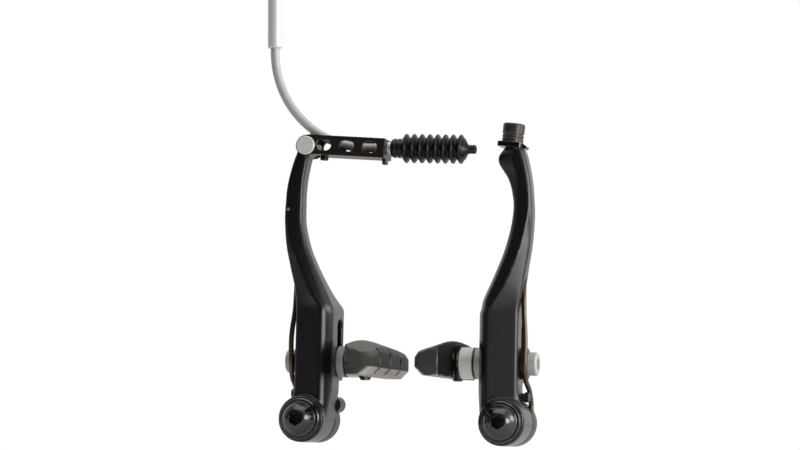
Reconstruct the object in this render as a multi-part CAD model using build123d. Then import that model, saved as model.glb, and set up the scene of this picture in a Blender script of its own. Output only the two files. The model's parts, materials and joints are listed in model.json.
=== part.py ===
"""Linear-pull bicycle rim brake: two arms with pads, a cable guide pipe and its link.

Frame: X to the right, Y from the front of the brake to the bicycle frame, Z up along the arms.
The origin is midway between the two pivots, on the plane where the brake meets the frame's bosses.
Every piece of a side is drawn for the right side about its own pivot: its x is the way out from the
pivot. The left side is its mirror image.
"""
import os
from math import cos, degrees, radians, sin, sqrt

from build123d import *

# Bosses of the bicycle frame
boss_spacing = 80.0
boss_bore = 8.1

# Clearances
running_gap = 0.05
seat_gap = 0.02
face_gap = 0.2

# Length by which a cut runs past the face it opens
overrun = 1.0

# Pivot stack, as distances in front of the frame's seat
holder_depth = 8.0
barrel_length = 18.3
barrel_radius = 9.2
bushing_radius = 5.5
pivot_washer_radius = 8.1
pivot_washer_thickness = 1.5
pivot_bolt_radius = 3.0
pivot_bolt_length = 16.0
pivot_flange_radius = 7.0
pivot_flange_thickness = 1.3
pivot_head_radius = 6.3
pivot_head_height = 3.5
pivot_head_round = 2.6
pivot_socket = 5.0
pivot_socket_depth = 3.2

# Spring holder on the seat
holder_radius = 9.1
seat_ring_radius = 6.8
seat_ring_height = 0.8
lobe_radius = 3.2
lobe_in = 8.0
lobe_rise = 6.0
stop_peg_radius = 1.25
stop_peg_reach = 3.0
stop_peg_sunk = 3.2

# Arm: straight lower part with the pad slot
arm_out = 4.8
arm_in = 10.6
straight_top = 42.0
arm_rear = 2.6
arm_edge_front = 20.0
arm_inner_front = 19.5
ridge_front = 24.5
ridge_in = 6.8
bevel_edge = 0.9
bevel_edge_front = 21.3
bevel_width = 2.1
bevel_front = 23.3
foot_relief_top = 15.5
foot_taper_top = 12.0
web_radius = 14.0
web_front = 19.6
corner_rounds = (1.5, 0.6, 0.5, 0.4, 0.4, 0.6, 1.2)
barrel_chamfer = 0.6

# Arm: guide lines of the curved upper part as (rise, distance) pairs, blended smoothly,
# where the rise is above the straight part of an arm of guide_rise
guide_rise = 66.0
shared_guides = {
    "edge_front": ((0, arm_edge_front), (42, 19.8), (64, 18.6)),
    "rear": ((0, arm_rear), (4, 4.4), (8, 9.0), (14, 11.4), (22, 12.4), (42, 12.2), (54, 11.2), (64, 10.4)),
}
eye_guides = shared_guides | {
    "outer": ((0, arm_out), (8, 5.4), (18, 7.7), (28, 9.8), (38, 10.5), (48, 10.1), (56, 8.7), (64, 6.4)),
    "inner": ((0, -arm_in), (7.5, -7.9), (17.5, -3.1), (28, 1.2), (38, 3.1), (48, 3.2), (61, 1.6))
    + ((66, -0.4),),
    "ridge": ((0, -ridge_in), (8, -2.4), (17.5, 2.2), (28, 6.8), (40, 9.2), (52, 8.6), (64, 5.2)),
    "ridge_front": ((0, ridge_front), (18, 22.6), (42, 20.4), (64, 19.6)),
    "side_front": ((0, arm_inner_front), (42, 19.3), (64, 18.8)),
    "bevel": ((0, bevel_edge), (20, 0.5), (64, 0.4)),
    "bevel_front": ((0, bevel_edge_front), (20, 20.4), (42, 19.8), (64, 19.2)),
    "facet": ((0, bevel_width), (20, 1.2), (64, 1.0)),
    "facet_front": ((0, bevel_front), (20, 21.4), (42, 20.2), (64, 19.5)),
}
clamp_guides = shared_guides | {
    "outer": ((0, arm_out), (8, 5.9), (18, 7.7), (28, 9.2), (38, 9.7), (48, 9.0), (56, 7.6), (64, 5.4)),
    "inner": ((0, -arm_in), (6, -8.9), (14, -5.4), (25, -1.1), (35.5, 1.4), (41, 1.9), (46.5, 1.1))
    + ((52, -0.9), (55.7, -3.4), (58.5, -4.9), (65.5, -3.4)),
    "ridge": ((0, -ridge_in), (7, -2.6), (15, 1.3), (24.5, 5.0), (33, 7.2), (42, 8.5), (52, 7.4), (64, 4.4)),
    "ridge_front": ((0, ridge_front), (18, 23.3), (42, 21.6), (64, 20.4)),
    "side_front": ((0, arm_inner_front), (42, 19.0), (58, 16.0), (65, 16.0)),
    "bevel": ((0, bevel_edge), (42, bevel_edge), (53, 4.9), (58, 6.6), (65, 4.9)),
    "bevel_front": ((0, bevel_edge_front), (22, 20.6), (42, 20.0), (53, 20.5), (65, 20.3)),
    "facet": ((0, bevel_width), (42, bevel_width), (53, 7.4), (58, 9.7), (65, 7.0)),
    "facet_front": ((0, bevel_front), (22, 22.1), (42, 20.9), (53, 21.1), (65, 20.7)),
}
section_count = 17

# Pad slot and pad post
post_setback = 9.0
post_height = 23.0
post_radius = 3.0
slot_gap = 0.2
slot_low = 20.5
slot_high = 36.3

# Brake pad
pad_reach = 31.4
pad_thickness = 9.7
pad_length = 65.0
pad_top = 8.0
pad_bottom = 5.8
pad_arc_radius = 150.0
face_top = 3.6
face_bottom = 2.6
top_shoulder_in = 1.5
top_shoulder = 5.8
bottom_chamfer = 3.1
pad_boss_radius = 7.2
pad_boss_height = 1.9
pad_groove_count = 3
pad_groove_width = 1.8
pad_groove_depth = 2.2
pad_end_round = 3.5
pad_back_round = 1.0
post_head_radius = 4.5
post_head_thickness = 2.0
post_head_cover = 2.2

# Ball washers of the pad post
washer_radius = 6.2
ball_radius = 14.0
washer_edge = 0.2
inner_cup_rim = 2.9
outer_cup_rim = 1.4
outer_dome_rim = 0.6
post_hole_gap = 0.2

# Pad nut
nut_radius = 4.6
nut_thread_length = 2.0
nut_socket = 5.0
nut_socket_depth = 2.0
nut_chamfer = 0.5

# Return spring and its tension screw
wire_radius = 1.0
spring_foot = (7.4, -4.5)
spring_foot_sunk = 1.0
spring_foot_rise = 8.0
spring_route = ((7.4, -8.8, 13.0), (7.0, -16.8, 18.5), (7.2, -17.2, 33.0), (6.2, -15.8, 43.0))
spring_tip = (5.9, -15.3, 56.0)
spring_bends = (4.0, 6.0, 9.0, 40.0, 40.0)
tip_hole_gap = 0.1
screw_radius = 1.5
screw_height = 10.0
screw_setback = 11.0
screw_sunk = 6.0
screw_head_radius = 2.0
screw_head_thickness = 1.8
screw_stand = 1.4
screw_slot_width = 0.9
screw_slot_depth = 0.9

# Cable plane, link pin and eye on the left arm
cable_setback = 15.5
pin_out = 1.7
pin_height = 108.0
pin_radius = 2.5
pin_head_radius = 3.7
pin_head_thickness = 1.2
pin_rivet_radius = 3.5
pin_rivet_thickness = 1.0
pin_head_gap = 0.1
eye_radius = 3.9
eye_thickness = 9.0
eye_relief = 5.6

# Link: a bent steel channel
link_tilt = 3.4
link_wall = 1.5
link_length = 32.0
link_top = 4.4
link_bottom = 3.3
link_end_radius = 4.2
link_web_start = 4.4
link_ear_height = 6.8
link_ear_width = 4.0
link_tab_drop = 5.5
link_tab_width = 4.2
link_stud_radius = 1.6
link_stud_drop = 1.7
link_stud_place = 6.2
window_length = 6.4
window_height = 4.4
window_first = 7.1
window_pitch = 9.4
window_count = 3
window_rise = 0.6

# Guide pipe with its ferrule and tip
pipe_radius = 1.75
pipe_bore = 1.2
pipe_tilt = 1.3
pipe_straight = 9.6
pipe_overhang = 1.0
pipe_bend_radius = 40.0
pipe_turn = 87.2
ferrule_radius = 2.9
ferrule_length = 24.0
housing_bore = 2.55
housing_depth = 12.0
ferrule_neck = 1.7
tip_gap = 0.3
tip_collar_radius = 2.65
tip_collar_length = 3.0
tip_nose_radius = 2.3
tip_ring_radius = 2.6
tip_ring_length = 1.2
tip_barb_length = 5.4
tip_wire_bore = 1.0

# Rubber boot
boot_neck_radius = 3.5
boot_neck_length = 5.6
boot_bead = 0.35
rib_count = 8
rib_pitch = 3.0
rib_radius = 5.8
rib_valley_radius = 4.2
rib_land = 1.1
rib_valley_land = 0.6
boot_cone = 1.2
boot_nub_radius = 1.75
boot_nub_length = 3.2
boot_bore = 1.0
boot_chamber = 3.0

# Cable clamp on the right arm
clamp_out = 0.25
clamp_height = 107.0
clamp_lean = 5.5
clamp_trim = 2.0
clamp_bolt_radius = 2.5
clamp_bolt_sunk = 9.0
clamp_plate_thickness = 1.9
clamp_plate_in = 5.0
clamp_plate_out = 4.4
clamp_plate_width = 9.6
clamp_tab_length = 2.4
clamp_tab_angle = 32.0
clamp_tab_thickness = 1.2
clamp_collar_radius = 4.2
clamp_collar_height = 3.0
clamp_neck_radius = 3.8
clamp_neck_height = 0.6
clamp_cap_radius = 4.3
clamp_cap_height = 3.9
clamp_cap_chamfer = 0.4
clamp_socket = 5.0
clamp_socket_depth = 3.0
cable_radius = 0.8
cable_groove_offset = 3.7

# Derived places
half_spacing = boss_spacing / 2
barrel_rear = holder_depth + face_gap
barrel_front = barrel_rear + barrel_length
bushing_front = barrel_front + face_gap
flange_rear = bushing_front + pivot_washer_thickness
head_rear = flange_rear + pivot_flange_thickness
head_front = head_rear + pivot_head_height
pad_back = pad_reach - pad_thickness
pad_boss_face = pad_back - pad_boss_height
inner_dome_rim = pad_boss_face - arm_in - inner_cup_rim
nut_seat = arm_out + outer_cup_rim + outer_dome_rim
nut_length = nut_thread_length + nut_socket_depth
cheek_inner = eye_thickness / 2 + face_gap
cheek_outer = cheek_inner + link_wall
flange_inner = link_length - link_wall
pipe_end = link_length + pipe_overhang
boot_start = link_length + tip_gap + tip_ring_length + face_gap


def rod(radius, start, end):
    """A plain round bar from one point to another."""
    span = Vector(*end) - Vector(*start)
    return Solid.make_cylinder(radius, span.length, Plane(origin=start, z_dir=span))


def hex_bar(across_flats, start, end):
    """A hexagonal bar, as the cut of a hex socket."""
    span = Vector(*end) - Vector(*start)
    section = Plane(origin=start, z_dir=span) * RegularPolygon(across_flats / sqrt(3), 6)
    return extrude(section, span.length, dir=span)


def turned(outline, axis=Axis.X):
    """A turned piece from its half outline of (along, radius) points."""
    return revolve(make_face(Polyline(*[(a, r, 0) for a, r in outline], close=True)), axis)


def block(x_range, y_range, z_range):
    """A rectangular block between given limits."""
    size = [high - low for low, high in (x_range, y_range, z_range)]
    middle = [(high + low) / 2 for low, high in (x_range, y_range, z_range)]
    return Pos(*middle) * Box(*size)


def blend(line, rise):
    """The value of a guide line at a rise, on a smooth curve that never overshoots its pairs."""
    rises = [(after[1] - before[1]) / (after[0] - before[0]) for before, after in zip(line, line[1:])]
    slopes = [0.0]
    for a, b in zip(rises, rises[1:]):
        slopes.append(2 * a * b / (a + b) if a * b > 0 else 0.0)
    slopes.append(rises[-1])
    step = sum(1 for pair in line[1:-1] if rise > pair[0])
    (low, start), (high, end) = line[step], line[step + 1]
    span = high - low
    t = (rise - low) / span
    leaving = (1 + 2 * t) * (1 - t) ** 2 * start + t * (1 - t) ** 2 * span * slopes[step]
    return leaving + t * t * (3 - 2 * t) * end + t * t * (t - 1) * span * slopes[step + 1]


def arm_section(rise, guides):
    """The arm's seven-sided section at a guide rise: back, outer face, ridge, bevels and inner side."""
    at = {name: blend(line, rise) for name, line in guides.items()}
    corners = (
        (at["outer"], -at["rear"]),
        (at["outer"], -at["edge_front"]),
        (at["ridge"], -at["ridge_front"]),
        (at["inner"] + at["facet"], -at["facet_front"]),
        (at["inner"] + at["bevel"], -at["bevel_front"]),
        (at["inner"], -at["side_front"]),
        (at["inner"], -at["rear"]),
    )
    return make_face(FilletPolyline(*corners, radius=corner_rounds, close=True))


def arm_body(guides, top):
    """The bare arm: straight lower part, curved upper part and pivot barrel."""
    lower = extrude(Pos(0, 0, straight_top) * arm_section(0, guides), straight_top, dir=(0, 0, -1))
    sections = []
    for i in range(section_count):
        share = i / (section_count - 1)
        height = straight_top + share * (top - straight_top)
        sections.append(Pos(0, 0, height) * arm_section(share * guide_rise, guides))
    upper = loft(sections)
    relief = block((-arm_in - overrun, arm_out + overrun), (-barrel_rear, 0), (-overrun, foot_relief_top))
    barrel = rod(barrel_radius, (0, -barrel_front, 0), (0, -barrel_rear, 0))
    barrel = chamfer(barrel.edges(), barrel_chamfer)
    return lower - relief - foot_taper() + upper + barrel + barrel_web()


def foot_taper():
    """The cut that leads the arm's inner side down onto the barrel."""
    outside = -arm_in - overrun
    outline = Polyline(
        (-arm_in, foot_taper_top),
        (-barrel_radius, 0),
        (-barrel_radius, -overrun),
        (outside, -overrun),
        (outside, foot_taper_top),
        close=True,
    )
    return extrude(Plane.XZ * make_face(outline), barrel_front)


def barrel_web():
    """The hollow-curved flank that leads from the arm's outer side to the barrel."""
    reach = arm_out + web_radius
    rise = sqrt((barrel_radius + web_radius) ** 2 - reach**2)
    touch = barrel_radius / (barrel_radius + web_radius)
    start = (arm_out, rise)
    end = (reach * touch, rise * touch)
    flank = RadiusArc(start, end, -web_radius)
    outline = flank + Polyline(end, (0, 0), (0, rise), start)
    web = extrude(Plane.XZ * make_face(outline), web_front - barrel_rear, dir=(0, -1, 0))
    return Pos(0, -barrel_rear, 0) * web


def finished_arm(body):
    """Cuts the bearing bore, the pad slot and the tapped holes that both arms have."""
    bore = rod(bushing_radius + running_gap, (0, -barrel_front - overrun, 0), (0, 0, 0))
    half_slot = post_radius + slot_gap
    across = (-arm_in - overrun, arm_out + overrun)
    slot = block(across, (-half_slot - post_setback, half_slot - post_setback), (slot_low, slot_high))
    for height in (slot_low, slot_high):
        slot += rod(half_slot, (across[0], -post_setback, height), (across[1], -post_setback, height))
    screw_at = (-screw_setback, screw_height)
    screw_hole = rod(screw_radius + seat_gap, (arm_out - screw_sunk, *screw_at), (web_radius, *screw_at))
    last_run = Vector(*spring_tip) - Vector(*spring_route[-1])
    tip_end = Vector(*spring_tip) + last_run.normalized() * face_gap
    tip_hole = rod(wire_radius + tip_hole_gap, spring_route[-1], tip_end)
    return body - bore - slot - screw_hole - tip_hole


def eye_rod(radius, start, end):
    """A round bar on the link pin's line, between two distances behind the cable plane."""
    bar = rod(radius, (0, start, 0), (0, end, 0))
    return Pos(pin_out, -cable_setback, pin_height) * bar


def left_arm():
    """The arm that carries the link, drawn about its pivot like a right arm."""
    body = arm_body(eye_guides, pin_height)
    half = eye_thickness / 2
    body += eye_rod(eye_radius, -half, half)
    body -= eye_rod(eye_relief, half, eye_thickness) + eye_rod(eye_relief, -eye_thickness, -half)
    return finished_arm(body) - eye_rod(pin_radius + seat_gap, -eye_thickness, eye_thickness)


def clamp_frame():
    """The place and lean of the cable clamp's bolt on the right arm."""
    return Pos(clamp_out, -cable_setback, clamp_height) * Rot(0, clamp_lean, 0)


def cable_groove():
    """The cut of the cable's groove, half in the arm's top and half in the plate."""
    return rod(cable_radius, (-ridge_front, cable_groove_offset, 0), (ridge_front, cable_groove_offset, 0))


def right_arm():
    """The arm that carries the cable clamp."""
    body = arm_body(clamp_guides, clamp_height + clamp_trim)
    reach = (-ridge_front, ridge_front)
    above = block(reach, reach, (0, ridge_front))
    bolt_hole = rod(clamp_bolt_radius + seat_gap, (0, 0, -clamp_bolt_sunk), (0, 0, overrun))
    return finished_arm(body) - clamp_frame() * (above + bolt_hole + cable_groove())


def bushing():
    """The steel sleeve on the frame's boss, on which the arm turns."""
    sleeve = rod(bushing_radius, (0, -bushing_front, 0), (0, -holder_depth, 0))
    return sleeve - rod(boss_bore / 2, (0, -bushing_front - overrun, 0), (0, 0, 0))


def pivot_washer():
    """The cover washer under the pivot bolt's flange."""
    disc = rod(pivot_washer_radius, (0, -flange_rear, 0), (0, -bushing_front, 0))
    disc = chamfer(disc.edges().sort_by(Axis.Y)[0], pivot_washer_thickness / 3)
    return disc - rod(boss_bore / 2, (0, -flange_rear - overrun, 0), (0, 0, 0))


def pivot_bolt():
    """The flanged bolt with a domed head and a hex socket; its shank screws into the frame's boss."""
    flange = rod(pivot_flange_radius, (0, -head_rear, 0), (0, -flange_rear, 0))
    flange = fillet(flange.edges().sort_by(Axis.Y)[0], pivot_flange_thickness / 2)
    head = rod(pivot_head_radius, (0, -head_front, 0), (0, -head_rear, 0))
    head = fillet(head.edges().sort_by(Axis.Y)[0], pivot_head_round)
    shank = rod(pivot_bolt_radius, (0, -flange_rear, 0), (0, pivot_bolt_length - flange_rear, 0))
    socket = hex_bar(pivot_socket, (0, -head_front - overrun, 0), (0, pivot_socket_depth - head_front, 0))
    return flange + head + shank - socket


def lobe_rod(radius, start, end):
    """A round bar on the line of the holder's lobe, between two distances behind the seat."""
    return rod(radius, (-lobe_in, start, lobe_rise), (-lobe_in, end, lobe_rise))


def peg_rod(radius):
    """A round bar on the stop peg's line, from inside the holder's lobe to behind the seat."""
    return lobe_rod(radius, -seat_ring_height - stop_peg_sunk, stop_peg_reach)


def spring_holder():
    """The moulded disc on the seat that holds the spring's foot, with a lobe for the stop peg."""
    rear = -seat_ring_height
    disc = rod(holder_radius, (0, -holder_depth, 0), (0, rear, 0))
    lobe = lobe_rod(lobe_radius, -holder_depth, rear)
    ring = rod(seat_ring_radius, (0, rear, 0), (0, 0, 0))
    bore = rod(boss_bore / 2, (0, -holder_depth - overrun, 0), (0, overrun, 0))
    foot_hole = rod(wire_radius + seat_gap, (*spring_foot, -spring_foot_sunk), (*spring_foot, holder_radius))
    return disc + lobe + ring - bore - foot_hole - peg_rod(stop_peg_radius + seat_gap)


def stop_peg():
    """The steel peg that keeps the holder from turning on the frame."""
    return peg_rod(stop_peg_radius)


def return_spring():
    """The bowed spring wire from the holder to its hole in the arm."""
    foot = (*spring_foot, -spring_foot_sunk)
    points = (foot, (*spring_foot, spring_foot_rise), *spring_route, spring_tip)
    path = FilletPolyline(*points, radius=spring_bends)
    return sweep(Plane(origin=foot, z_dir=path % 0) * Circle(wire_radius), path)


def tension_screw():
    """The slotted screw that sets the spring's tension."""
    seat = arm_out + screw_stand
    end = seat + screw_head_thickness
    at = (-screw_setback, screw_height)
    screw = rod(screw_radius, (arm_out - screw_sunk, *at), (seat, *at))
    screw += rod(screw_head_radius, (seat, *at), (end, *at))
    half = screw_slot_width / 2
    reach = screw_head_radius + overrun
    slot = block((-screw_slot_depth, overrun), (-half, half), (-reach, reach))
    return screw - Pos(end, *at) * slot


def on_post(piece):
    """Puts a piece drawn along X onto the pad post's line."""
    return Pos(0, -post_setback, post_height) * piece


def ball_ring(outer_end, hole_end):
    """A washer turned from a flat side at x = 0 to a ball face between its rim and its hole."""
    hole = post_radius + post_hole_gap
    middle = (hole + washer_radius) / 2
    share = (ball_bulge(middle) - ball_bulge(washer_radius)) / ball_sag()
    halfway = outer_end + (hole_end - outer_end) * share
    face = ThreePointArc((outer_end, washer_radius), (halfway, middle), (hole_end, hole))
    sides = Polyline((hole_end, hole), (0, hole), (0, washer_radius), (outer_end, washer_radius))
    ring = revolve(make_face(face + sides), Axis.X)
    return chamfer(ring.edges().filter_by(GeomType.CIRCLE).sort_by(SortBy.RADIUS)[-2:], washer_edge)


def ball_bulge(radius):
    """How far the ball face stands out at a radius."""
    return sqrt(ball_radius**2 - radius**2)


def ball_sag():
    """How much further the ball face stands out at the hole than at the rim."""
    return ball_bulge(post_radius + post_hole_gap) - ball_bulge(washer_radius)


def cup_washer(rim):
    """A flat washer with a hollow ball seat."""
    return ball_ring(rim, rim - ball_sag())


def dome_washer(rim):
    """A washer with a ball face that sits in the cup washer."""
    return ball_ring(rim - seat_gap, rim - seat_gap + ball_sag())


def brake_pad():
    """The rubber block, arched on top and straight below, with its boss, cross grooves and bevels."""
    deep = -pad_bottom - pad_top
    arched = Polyline(
        (-pad_back, deep),
        (-pad_reach, deep),
        (-pad_reach, face_top),
        (-pad_reach + top_shoulder_in, top_shoulder),
        (-pad_back, pad_top),
        close=True,
    )
    straight = Polyline(
        (-pad_back, -pad_bottom),
        (-pad_reach + bottom_chamfer, -pad_bottom),
        (-pad_reach, -face_bottom),
        (-pad_reach, pad_top),
        (-pad_back, pad_top),
        close=True,
    )
    half = pad_length / 2
    half_arc = degrees((half + overrun) / pad_arc_radius)
    hub = Axis((0, 0, -pad_arc_radius), (1, 0, 0))
    section = Plane.XZ * make_face(arched)
    bent = revolve(section.rotate(hub, -half_arc), hub, 2 * half_arc)
    bent &= extrude(Plane.XZ * make_face(straight), pad_length, both=True)
    plan = FilletPolyline(
        (-pad_back, -half),
        (-pad_reach, -half),
        (-pad_reach, half),
        (-pad_back, half),
        radius=(pad_back_round, pad_end_round, pad_end_round, pad_back_round),
        close=True,
    )
    bent &= Pos(0, 0, -pad_length) * extrude(make_face(plan), 2 * pad_length)
    pitch = pad_length / (pad_groove_count + 1)
    for i in range(pad_groove_count):
        middle = (i + 1) * pitch - pad_length / 2
        reach = (-pad_reach - overrun, -pad_reach + pad_groove_depth)
        width = (-pad_groove_width / 2, pad_groove_width / 2)
        groove = block(reach, width, (-pad_bottom - overrun, pad_top + overrun))
        bent -= groove.rotate(hub, -degrees(middle / pad_arc_radius))
    boss = rod(pad_boss_radius, (-pad_back, 0, 0), (-pad_boss_face, 0, 0))
    head = post_head_thickness + seat_gap
    middle = -pad_back - post_head_cover
    cavity = rod(post_head_radius + seat_gap, (middle - head, 0, 0), (middle + seat_gap, 0, 0))
    cavity += rod(post_radius + seat_gap, (middle, 0, 0), (0, 0, 0))
    return on_post(bent + boss - cavity)


def pad_post():
    """The threaded post whose head is moulded into the rubber."""
    middle = -pad_back - post_head_cover
    head = rod(post_head_radius, (middle - post_head_thickness, 0, 0), (middle, 0, 0))
    return on_post(head + rod(post_radius, (middle, 0, 0), (nut_seat + nut_thread_length, 0, 0)))


def pad_nut():
    """The round nut with a hex socket in its end."""
    nut = rod(nut_radius, (nut_seat, 0, 0), (nut_seat + nut_length, 0, 0))
    nut = chamfer(nut.edges(), nut_chamfer)
    thread = rod(post_radius + seat_gap, (nut_seat - overrun, 0, 0), (nut_seat + nut_thread_length, 0, 0))
    depth = nut_seat + nut_length - nut_socket_depth + seat_gap
    socket = hex_bar(nut_socket, (depth, 0, 0), (nut_seat + nut_length + overrun, 0, 0))
    return on_post(nut - thread - socket)


def ball_washers():
    """The four washers of a pad post, named by place."""
    turn = Rot(0, 0, 180)
    return {
        "inner_cup_washer": on_post(Pos(-arm_in, 0, 0) * turn * cup_washer(inner_cup_rim)),
        "inner_dome_washer": on_post(Pos(-pad_boss_face, 0, 0) * dome_washer(inner_dome_rim)),
        "outer_cup_washer": on_post(Pos(arm_out, 0, 0) * cup_washer(outer_cup_rim)),
        "outer_dome_washer": on_post(Pos(nut_seat, 0, 0) * turn * dome_washer(outer_dome_rim)),
    }


def link_frame():
    """The link's own frame: its pin at the origin, x along the channel to the right."""
    return Pos(-half_spacing - pin_out, -cable_setback, pin_height) * Rot(0, link_tilt, 0)


def pipe_frame():
    """The guide pipe's own frame: x along the straight end of the pipe, through the link pin's line."""
    return Pos(-half_spacing - pin_out, -cable_setback, pin_height) * Rot(0, pipe_tilt, 0)


def link():
    """The bent channel that hangs on the left arm's pin and holds the guide pipe's tip."""
    end = rod(link_end_radius, (0, -cheek_outer, 0), (0, cheek_outer, 0))
    channel = end + block((0, link_length), (-cheek_outer, cheek_outer), (-link_bottom, link_top))
    ear = block((-link_ear_width / 2, link_ear_width / 2), (cheek_inner, cheek_outer), (0, link_ear_height))
    ear = fillet(ear.edges().filter_by(Axis.Y).group_by(Axis.Z)[-1], link_ear_width / 3)
    half_tab = link_tab_width / 2
    tab = block((flange_inner, link_length), (-half_tab, half_tab), (-link_tab_drop, 0))
    tab = fillet(tab.edges().filter_by(Axis.X).group_by(Axis.Z)[0], link_wall)
    inside = (-cheek_inner, cheek_inner)
    floor = link_wall - link_bottom
    hollow = block((-2 * link_end_radius, flange_inner), inside, (floor, 2 * link_top))
    mouth = block((-2 * link_end_radius, link_web_start), inside, (-2 * link_bottom, floor))
    stud_low = (link_stud_place, 0, -link_bottom - link_stud_drop)
    stud = rod(link_stud_radius, stud_low, (link_stud_place, 0, floor))
    body = channel + ear + tab - hollow - mouth + stud
    body -= rod(pin_radius + running_gap, (0, -2 * cheek_outer, 0), (0, 2 * cheek_outer, 0))
    through = (flange_inner - overrun, link_length + overrun)
    half = pipe_radius + running_gap
    keyhole = rod(tip_nose_radius + running_gap, (through[0], 0, 0), (through[1], 0, 0))
    keyhole += block(through, (-half, half), (0, 2 * link_top))
    body -= Rot(0, pipe_tilt - link_tilt, 0) * keyhole
    for i in range(window_count):
        middle = window_first + i * window_pitch
        slot = Plane.XZ * (Pos(middle, window_rise) * SlotOverall(window_length, window_height))
        body -= extrude(slot, 2 * cheek_outer, both=True)
    return link_frame() * body


def link_pin():
    """The headed rivet through the link and the left arm's eye."""
    front = cheek_outer + pin_head_gap
    shank = rod(pin_radius, (0, -front, 0), (0, front, 0))
    head = rod(pin_head_radius, (0, -front - pin_head_thickness, 0), (0, -front, 0))
    head = fillet(head.edges().sort_by(Axis.Y)[0], pin_head_thickness / 3)
    tail = rod(pin_rivet_radius, (0, front, 0), (0, front + pin_rivet_thickness, 0))
    tail = chamfer(tail.edges().sort_by(Axis.Y)[-1], pin_rivet_thickness / 2)
    return link_frame() * (shank + head + tail)


def pipe_path():
    """The guide pipe's line: straight in the link, then one bend up to the ferrule."""
    bend_start = pipe_end - pipe_straight
    straight = Line((pipe_end, 0, 0), (bend_start, 0, 0))
    turn = radians(pipe_turn)
    points = []
    for angle in (turn / 2, turn):
        rise = pipe_bend_radius * (1 - cos(angle))
        points.append((bend_start - pipe_bend_radius * sin(angle), 0, rise))
    bend = ThreePointArc(straight @ 1, *points)
    lead = Line(bend @ 1, (bend @ 1) + (bend % 1) * (ferrule_neck + ferrule_length - housing_depth))
    return straight, bend, lead


def guide_pipe():
    """The bent steel pipe that leads the cable round to the link."""
    line = Wire(list(pipe_path()))
    section = Plane(origin=line @ 0, z_dir=line % 0) * (Circle(pipe_radius) - Circle(pipe_bore))
    return pipe_frame() * sweep(section, line)


def pipe_ferrule():
    """The aluminium socket on the pipe's upper end that takes the cable housing."""
    lead = pipe_path()[2]
    start = (lead @ 0) + (lead % 0) * ferrule_neck
    mouth = start + (lead % 0) * ferrule_length
    body = rod(ferrule_radius, start, mouth)
    body = chamfer(body.edges(), ferrule_radius / 8)
    socket = rod(housing_bore, mouth - (lead % 0) * housing_depth, mouth + (lead % 0))
    return pipe_frame() * (body - socket - rod(pipe_radius + seat_gap, start - (lead % 0), mouth))


def pipe_tip():
    """The turned end piece that seats in the link's keyhole and carries the boot."""
    ring_start = link_length + tip_gap
    ring_end = ring_start + tip_ring_length
    collar_end = flange_inner - tip_gap
    collar_start = collar_end - tip_collar_length
    outline = (
        (collar_start, pipe_radius + seat_gap),
        (collar_start, tip_collar_radius),
        (collar_end, tip_collar_radius),
        (collar_end, tip_nose_radius),
        (ring_start, tip_nose_radius),
        (ring_start, tip_ring_radius),
        (ring_end, tip_ring_radius),
        (ring_end, tip_nose_radius),
        (ring_end + tip_barb_length, tip_nose_radius - face_gap),
        (ring_end + tip_barb_length, tip_wire_bore),
        (pipe_end + seat_gap, tip_wire_bore),
        (pipe_end + seat_gap, pipe_radius + seat_gap),
    )
    return pipe_frame() * turned(outline)


def boot():
    """The ribbed rubber bellows between the pipe's tip and the cable clamp."""
    neck_end = boot_start + boot_neck_length
    outline = [(boot_start, tip_nose_radius + seat_gap), (boot_start, boot_neck_radius)]
    for share in (0.3, 0.7):
        middle = boot_start + boot_neck_length * share
        for shift, rise in ((-2, 0), (-1, 1), (1, 1), (2, 0)):
            outline.append((middle + shift * boot_bead, boot_neck_radius + rise * boot_bead))
    outline.append((neck_end, boot_neck_radius))
    first = neck_end + rib_pitch / 2
    for i in range(rib_count):
        crest = first + i * rib_pitch
        outline.append((crest - rib_pitch / 2 + rib_valley_land / 2, rib_valley_radius))
        outline.append((crest - rib_land / 2, rib_radius))
        outline.append((crest + rib_land / 2, rib_radius))
        outline.append((crest + rib_pitch / 2 - rib_valley_land / 2, rib_valley_radius))
    last = first + (rib_count - 0.5) * rib_pitch
    nub_end = last + boot_cone + boot_nub_length
    chamber_start = boot_start + tip_barb_length + face_gap
    outline += [
        (last + boot_cone, boot_nub_radius),
        (nub_end, boot_nub_radius),
        (nub_end, boot_bore),
        (last, boot_bore),
        (last - rib_pitch / 2, boot_chamber),
        (chamber_start + rib_pitch / 2, boot_chamber),
        (chamber_start, tip_nose_radius + seat_gap),
    ]
    return pipe_frame() * turned(outline)


def clamp_bolt():
    """The socket-headed bolt that pinches the cable."""
    seat = clamp_plate_thickness
    neck = seat + clamp_collar_height
    cap = neck + clamp_neck_height
    top = cap + clamp_cap_height
    bolt = rod(clamp_bolt_radius, (0, 0, -clamp_bolt_sunk + face_gap), (0, 0, seat))
    bolt += rod(clamp_collar_radius, (0, 0, seat), (0, 0, neck))
    bolt += rod(clamp_neck_radius, (0, 0, neck), (0, 0, cap))
    head = rod(clamp_cap_radius, (0, 0, cap), (0, 0, top))
    bolt += chamfer(head.edges().sort_by(Axis.Z)[-1], clamp_cap_chamfer)
    socket = hex_bar(clamp_socket, (0, 0, top - clamp_socket_depth), (0, 0, top + overrun))
    return clamp_frame() * (bolt - socket)


def clamp_plate():
    """The grooved plate under the bolt's head, with a tab bent down over the arm."""
    half = clamp_plate_width / 2
    plate = block((-clamp_plate_in, clamp_plate_out), (-half, half), (0, clamp_plate_thickness))
    plate = fillet(plate.edges().filter_by(Axis.Z), clamp_plate_thickness / 2)
    tab = block((0, clamp_tab_length), (-half / 2, half / 2), (-clamp_tab_thickness, 0))
    tab = Pos(clamp_plate_out, 0, clamp_plate_thickness) * Rot(0, clamp_tab_angle, 0) * tab
    plate += tab
    plate -= rod(clamp_bolt_radius + face_gap, (0, 0, -overrun), (0, 0, clamp_plate_thickness + overrun))
    return clamp_frame() * (plate - cable_groove())


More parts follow.
